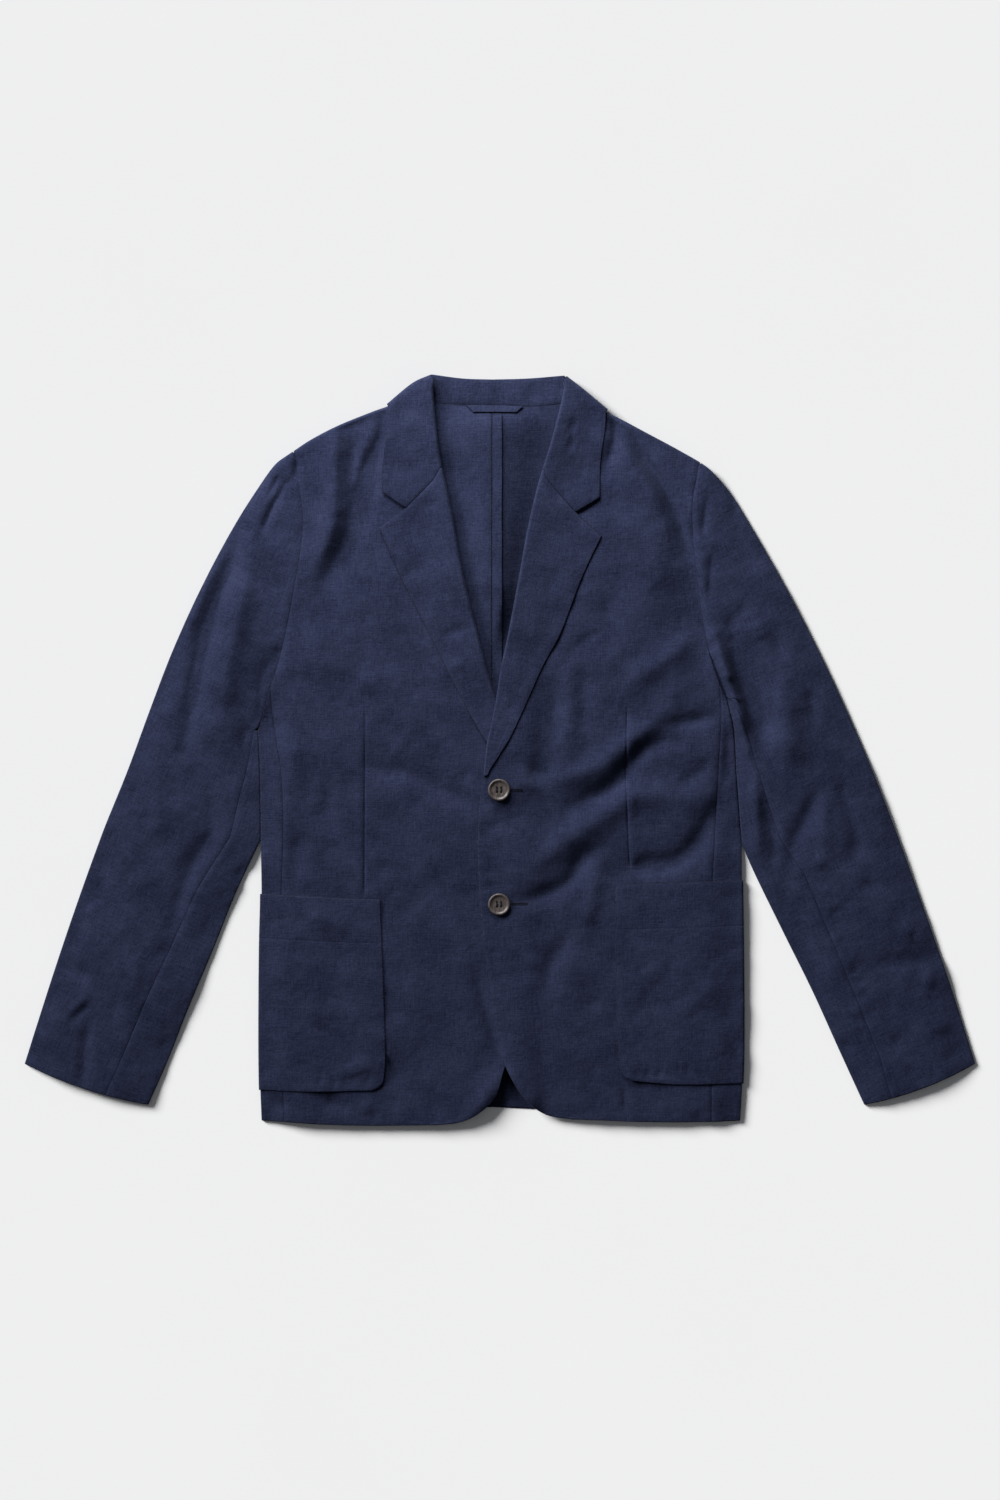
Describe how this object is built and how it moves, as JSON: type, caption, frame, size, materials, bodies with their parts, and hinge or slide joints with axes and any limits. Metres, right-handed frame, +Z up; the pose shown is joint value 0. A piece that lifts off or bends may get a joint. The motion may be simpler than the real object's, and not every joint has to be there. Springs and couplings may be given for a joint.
{
  "type": "blazer laid flat",
  "caption": "Single-breasted linen blazer laid flat on its back, buttoned, with notch lapels, patch pockets and darts.",
  "frame": {"origin": "middle of the garment's footprint, on the surface it lies on", "axes": "+X to the wearer's left, across the garment from cuff to cuff; +Y from the hem to the collar; +Z up off the surface"},
  "size_m": [0.9878, 0.7799, 0.0147],
  "materials": {
    "linen": "matte plain weave",
    "button": "satin"
  },
  "bodies": {
    "root": {"back_right": "linen", "back_left": "linen", "back_seam_allowance": "linen", "side_panel_right": "linen", "side_panel_left": "linen", "front_right": "linen", "front_left": "linen", "sleeve_top_right": "linen", "sleeve_top_left": "linen", "sleeve_under_right": "linen", "sleeve_under_left": "linen", "collar_stand": "linen", "collar": "linen", "lapel_right": "linen", "lapel_left": "linen", "pocket_right": "linen", "pocket_left": "linen", "hanger_loop": "linen", "button_upper": "button", "button_lower": "button"}
  },
  "joints": []
}
